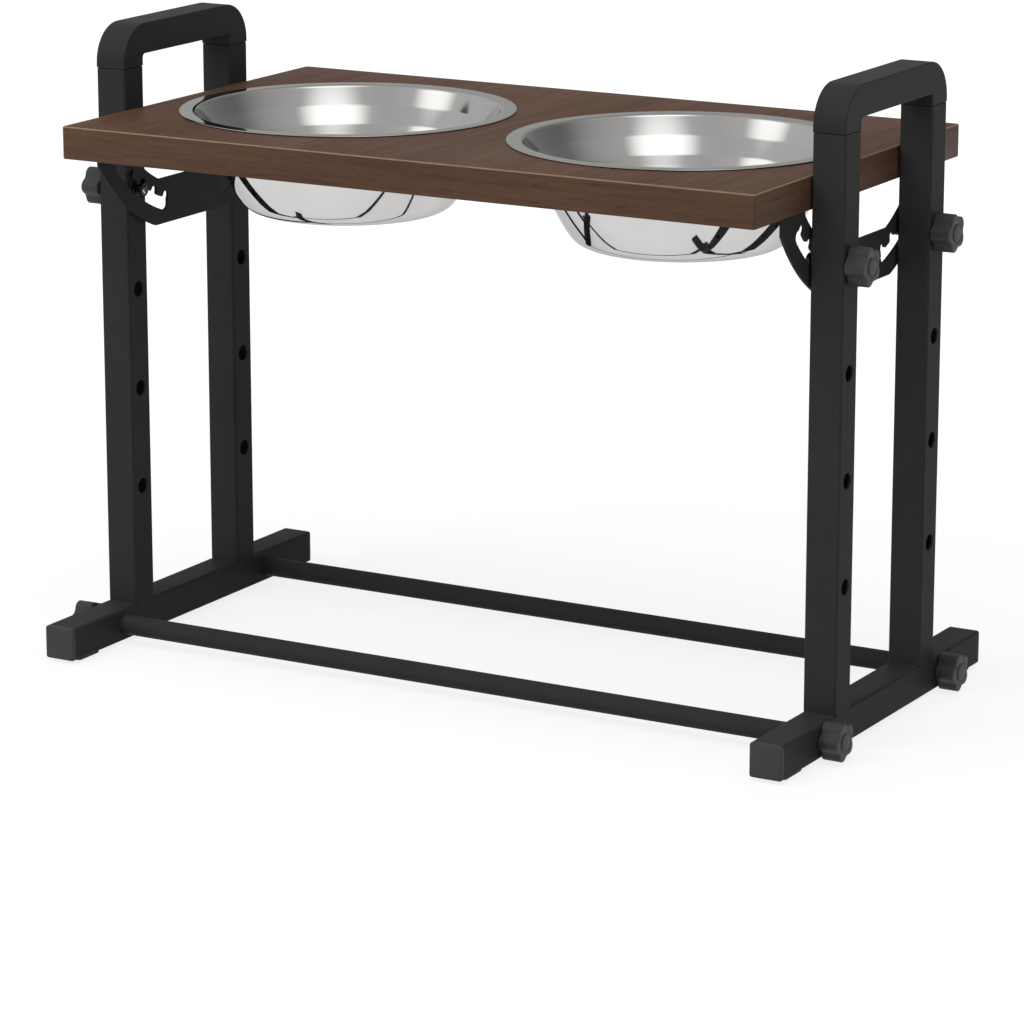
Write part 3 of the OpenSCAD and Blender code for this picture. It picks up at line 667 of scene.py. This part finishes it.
# Floor paint: camera, glossy and transmission rays see white with a shadow, and the light that the
# floor throws back at the stand is that of a pale grey.
floor_paint = bpy.data.materials.new("studio_floor")
floor_paint.use_nodes = True
tree = floor_paint.node_tree
tree.nodes.clear()
path = add(tree, "ShaderNodeLightPath")
seen = add(tree, "ShaderNodeMath",
           {0: path.outputs["Is Camera Ray"], 1: path.outputs["Is Glossy Ray"]}, operation="MAXIMUM")
seen = add(tree, "ShaderNodeMath",
           {0: seen.outputs[0], 1: path.outputs["Is Transmission Ray"]}, operation="MAXIMUM")
away = add(tree, "ShaderNodeVectorMath", {0: add(tree, "ShaderNodeTexCoord").outputs["Object"]},
           operation="LENGTH")
fade = add(tree, "ShaderNodeMapRange",
           {"Value": away.outputs["Value"], "From Min": 0.4, "From Max": 1.4, "To Min": 0.83,
            "To Max": 0.95}, interpolation_type="SMOOTHSTEP")
glow = add(tree, "ShaderNodeEmission", {"Color": linear("#ffffff"), "Strength": fade.outputs[0]})
shade = add(tree, "ShaderNodeBsdfDiffuse", {"Color": linear("#6e6e6e")})
white = add(tree, "ShaderNodeAddShader", {0: glow.outputs[0], 1: shade.outputs[0]})
plain = add(tree, "ShaderNodeBsdfDiffuse", {"Color": linear("#d2d2d2")})
mixed = add(tree, "ShaderNodeMixShader",
            {0: seen.outputs[0], 1: plain.outputs[0], 2: white.outputs[0]})
add(tree, "ShaderNodeOutputMaterial", {"Surface": mixed.outputs[0]})
mesh = bpy.data.meshes.new("studio_floor")
half = FLOOR_SIZE / 2
mesh.from_pydata([(-half, -half, 0), (half, -half, 0), (half, half, 0), (-half, half, 0)], [],
                 [(0, 1, 2, 3)])
mesh.materials.append(floor_paint)
floor = bpy.data.objects.new("studio_floor", mesh)
floor.location.z = -FLOOR_DROP
bpy.context.scene.collection.objects.link(floor)


def aim(bearing, rise):
    """Direction to a light from the stand; bearing 0 is the front and 90 the right, in degrees."""
    a, e = math.radians(bearing), math.radians(rise)
    return Vector((math.sin(a) * math.cos(e), -math.cos(a) * math.cos(e), math.sin(e)))


# The room glows from 0.15 on the right to 0.65 at the front left, with three soft lights in it:
# bearing, height, half angle of the bright middle and of the faded edge, strength
ROOM_SIDE, ROOM_DIM, ROOM_BRIGHT = aim(-53, 0), 0.15, 0.65
GLOWS = ((48, 54, 3, 26, 1.15), (76, 50, 12, 56, 0.25), (-45, 24, 2, 20, 0.95))
world = bpy.data.worlds.new("studio_room")
bpy.context.scene.world = world
world.use_nodes = True
tree = world.node_tree
tree.nodes.clear()
path = add(tree, "ShaderNodeLightPath")
way = add(tree, "ShaderNodeTexCoord").outputs["Generated"]
lean = add(tree, "ShaderNodeVectorMath", {0: way, 1: ROOM_SIDE}, operation="DOT_PRODUCT")
total = add(tree, "ShaderNodeMapRange", {"Value": lean.outputs["Value"], "From Min": -1.0,
                                         "To Min": ROOM_DIM, "To Max": ROOM_BRIGHT})
for bearing, rise, middle, edge, strength in GLOWS:
    near = add(tree, "ShaderNodeVectorMath", {0: way, 1: aim(bearing, rise)},
               operation="DOT_PRODUCT")
    blob = add(tree, "ShaderNodeMapRange",
               {"Value": near.outputs["Value"], "From Min": math.cos(math.radians(edge)),
                "From Max": math.cos(math.radians(middle)), "To Max": strength},
               interpolation_type="SMOOTHSTEP")
    total = add(tree, "ShaderNodeMath", {0: total.outputs[0], 1: blob.outputs[0]})
seen = add(tree, "ShaderNodeMath",
           {0: path.outputs["Is Camera Ray"], 1: path.outputs["Is Transmission Ray"]},
           operation="MAXIMUM")
power = add(tree, "ShaderNodeMix", {0: seen.outputs[0], 2: total.outputs[0], 3: 1.0})
sky = add(tree, "ShaderNodeBackground", {"Color": linear("#ffffff"), "Strength": power.outputs[0]})
add(tree, "ShaderNodeOutputWorld", {"Surface": sky.outputs[0]})

# The softboxes light the stand; reflections show the room's own soft lights in their place.
# name, bearing, height, distance, width, height of the box, watts
SOFTBOXES = (("softbox_left", -28, 40, 3.0, 1.2, 1.6, 29),
             ("softbox_overhead", 0, 80, 2.6, 1.6, 1.2, 34),
             ("softbox_behind", 185, 28, 3.2, 1.2, 1.6, 18))
LIT_POINT = Vector((0, 0, 0.38))
for name, bearing, rise, away, wide, tall, watts in SOFTBOXES:
    data = bpy.data.lights.new(name, "AREA")
    data.shape, data.size, data.size_y, data.energy = "RECTANGLE", wide, tall, watts
    lamp = bpy.data.objects.new(name, data)
    back = aim(bearing, rise)
    turn = back.to_track_quat("Z", "Y").to_matrix().to_4x4()
    lamp.matrix_world = Matrix.Translation(LIT_POINT + back * away) @ turn
    lamp.visible_glossy = False
    bpy.context.scene.collection.objects.link(lamp)

# The camera was fitted to the photograph's edges and corners, without lens shift
camera = bpy.data.objects.new("camera", bpy.data.cameras.new("camera"))
camera.data.lens = 153.9
camera.location = (1.5539, -2.73053, 0.92693)
camera.rotation_euler = (math.radians(90 - 14.388), 0, math.radians(29.6367))
bpy.context.scene.collection.objects.link(camera)
bpy.context.scene.camera = camera
bpy.context.scene.view_settings.view_transform = "Standard"
